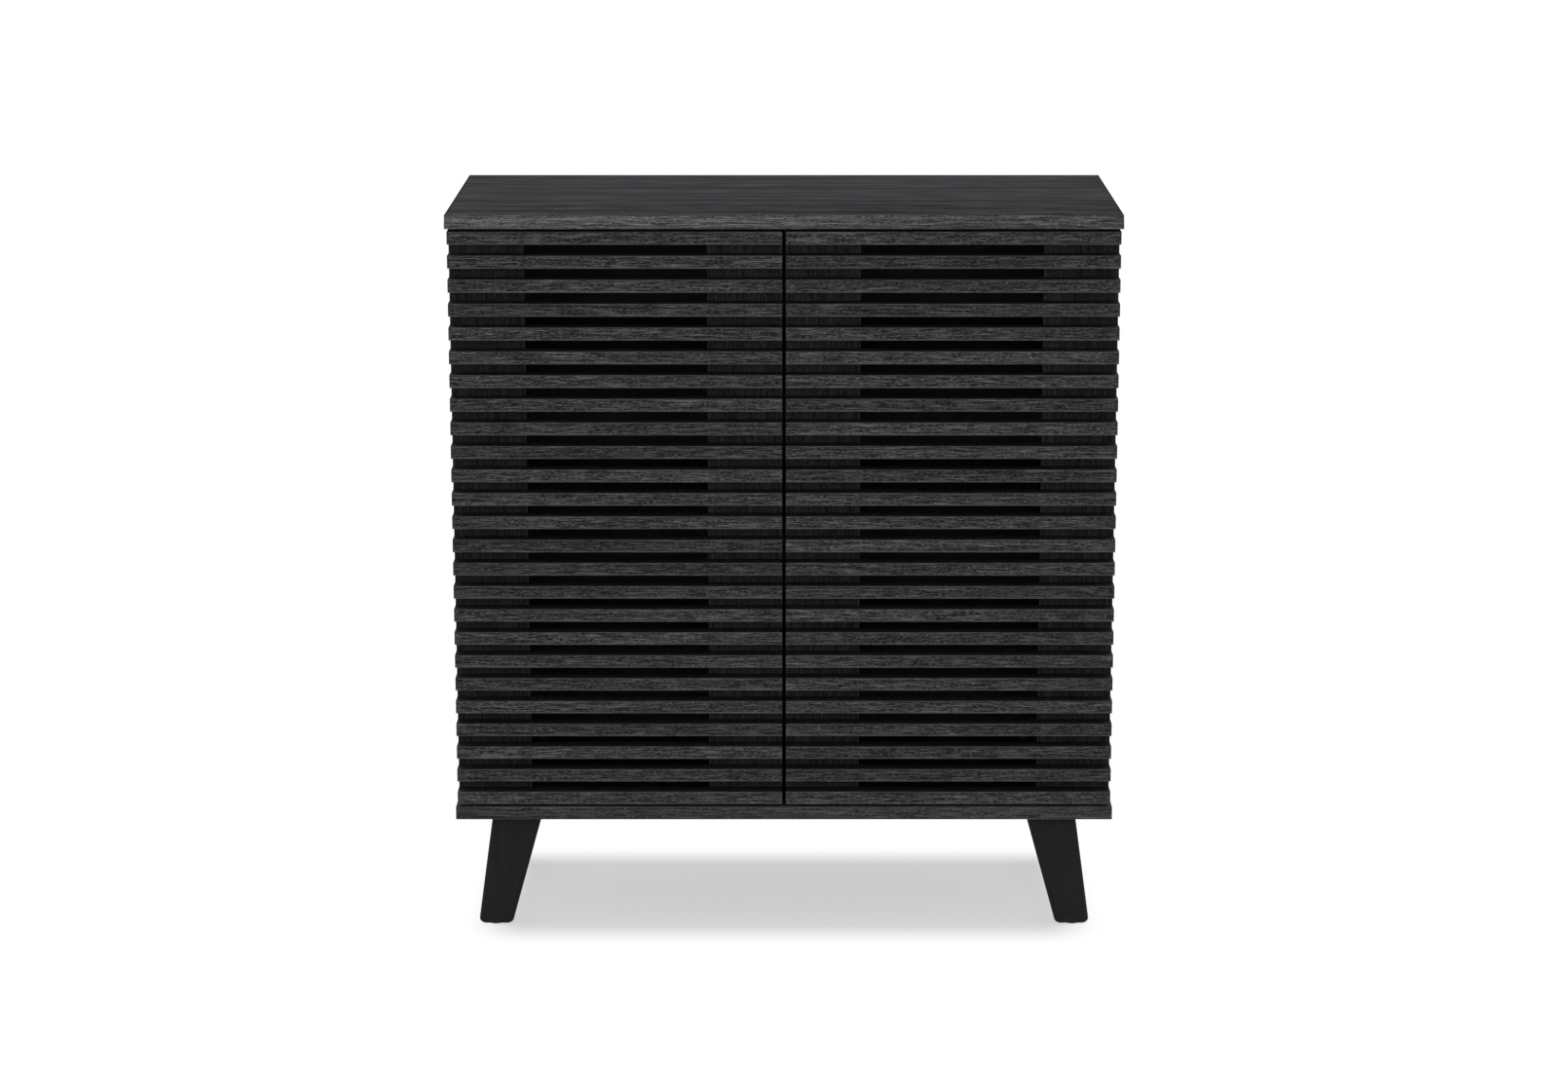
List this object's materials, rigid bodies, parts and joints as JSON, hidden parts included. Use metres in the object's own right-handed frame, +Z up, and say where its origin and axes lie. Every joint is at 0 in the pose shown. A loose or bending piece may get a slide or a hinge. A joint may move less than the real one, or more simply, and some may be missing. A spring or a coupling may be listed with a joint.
{
  "type": "shoe cabinet",
  "caption": "Hallway shoe cabinet with slatted swing doors on concealed hinges, shelved tiers inside and splayed tapered legs, in black-stained wood",
  "frame": {"origin": "on the floor, under the middle of the cabinet's outline", "axes": "+Z is up, -Y is the front where the doors are, +X is to the right as seen from the front"},
  "size_m": [0.8, 0.37, 0.892],
  "materials": {
    "stained_board": "matt black stain",
    "stained_slat_wood": "matt black stain, open grain",
    "back_board": "black faced hardboard",
    "black_leg": "satin black lacquer",
    "raw_wood": "bare beech",
    "zinc": "dull die-cast zinc",
    "steel": "zinc-plated steel",
    "nickel_steel": "nickel-plated steel",
    "brass": "plain",
    "glide_plastic": "matt",
    "bumper_rubber": "matt"
  },
  "bodies": {
    "carcass": {"top_panel": "stained_board", "base_panel": "stained_board", "left_side_panel": "stained_board", "right_side_panel": "stained_board", "back_panel": "back_board", "fixed_shelf": "stained_board", "lower_shelf": "stained_board", "upper_shelf": "stained_board", "shelf_pins": "steel", "cam_locks": "zinc", "cam_bolts": "steel", "wood_dowels": "raw_wood", "front_left_leg": "black_leg", "front_right_leg": "black_leg", "rear_left_leg": "black_leg", "rear_right_leg": "black_leg", "leg_inserts": "brass", "leg_bolts": "steel", "foot_glides": "glide_plastic", "left_hinge_arms": "nickel_steel", "left_arm_pins": "steel", "left_hinge_plates": "nickel_steel", "left_plate_screws": "steel", "left_arm_screws": "steel", "right_hinge_arms": "nickel_steel", "right_arm_pins": "steel", "right_hinge_plates": "nickel_steel", "right_plate_screws": "steel", "right_arm_screws": "steel"},
    "left_outer_link": {"left_outer_links": "nickel_steel"},
    "left_inner_link": {"left_inner_links": "nickel_steel"},
    "left_door": {"left_outer_stile": "stained_slat_wood", "left_inner_stile": "stained_slat_wood", "left_slats": "stained_slat_wood", "left_slat_screws": "steel", "left_door_bumpers": "bumper_rubber", "left_hinge_cups": "nickel_steel", "left_cup_screws": "steel", "left_cup_pins": "steel"},
    "right_outer_link": {"right_outer_links": "nickel_steel"},
    "right_inner_link": {"right_inner_links": "nickel_steel"},
    "right_door": {"right_outer_stile": "stained_slat_wood", "right_inner_stile": "stained_slat_wood", "right_slats": "stained_slat_wood", "right_slat_screws": "steel", "right_door_bumpers": "bumper_rubber", "right_hinge_cups": "nickel_steel", "right_cup_screws": "steel", "right_cup_pins": "steel"}
  },
  "joints": [
    {"name": "left_outer_link_turn", "type": "hinge", "parent": "carcass", "child": "left_outer_link", "pos_m": [-0.364, -0.142, 0.2595], "axis": [0, 0, 1], "range_deg": [0, 45]},
    {"name": "left_door_swing", "type": "hinge", "parent": "left_outer_link", "child": "left_door", "pos_m": [-0.3851, -0.1444, 0.2595], "axis": [0, 0, -1], "range_deg": [0, 140]},
    {"name": "left_inner_link_turn", "type": "hinge", "parent": "carcass", "child": "left_inner_link", "pos_m": [-0.3647, -0.1494, 0.2595], "axis": [0, 0, 1], "range_deg": [0, 32.2]},
    {"name": "right_outer_link_turn", "type": "hinge", "parent": "carcass", "child": "right_outer_link", "pos_m": [0.364, -0.142, 0.2595], "axis": [0, 0, -1], "range_deg": [0, 45]},
    {"name": "right_door_swing", "type": "hinge", "parent": "right_outer_link", "child": "right_door", "pos_m": [0.3851, -0.1444, 0.2595], "axis": [0, 0, 1], "range_deg": [0, 140]},
    {"name": "right_inner_link_turn", "type": "hinge", "parent": "carcass", "child": "right_inner_link", "pos_m": [0.3647, -0.1494, 0.2595], "axis": [0, 0, -1], "range_deg": [0, 32.2]}
  ],
  "couplings": [
    {"joint": "left_outer_link_turn", "follows": "left_door_swing", "ratio": 0.32143},
    {"joint": "left_inner_link_turn", "follows": "left_door_swing", "ratio": 0.23},
    {"joint": "right_outer_link_turn", "follows": "right_door_swing", "ratio": 0.32143},
    {"joint": "right_inner_link_turn", "follows": "right_door_swing", "ratio": 0.23}
  ]
}
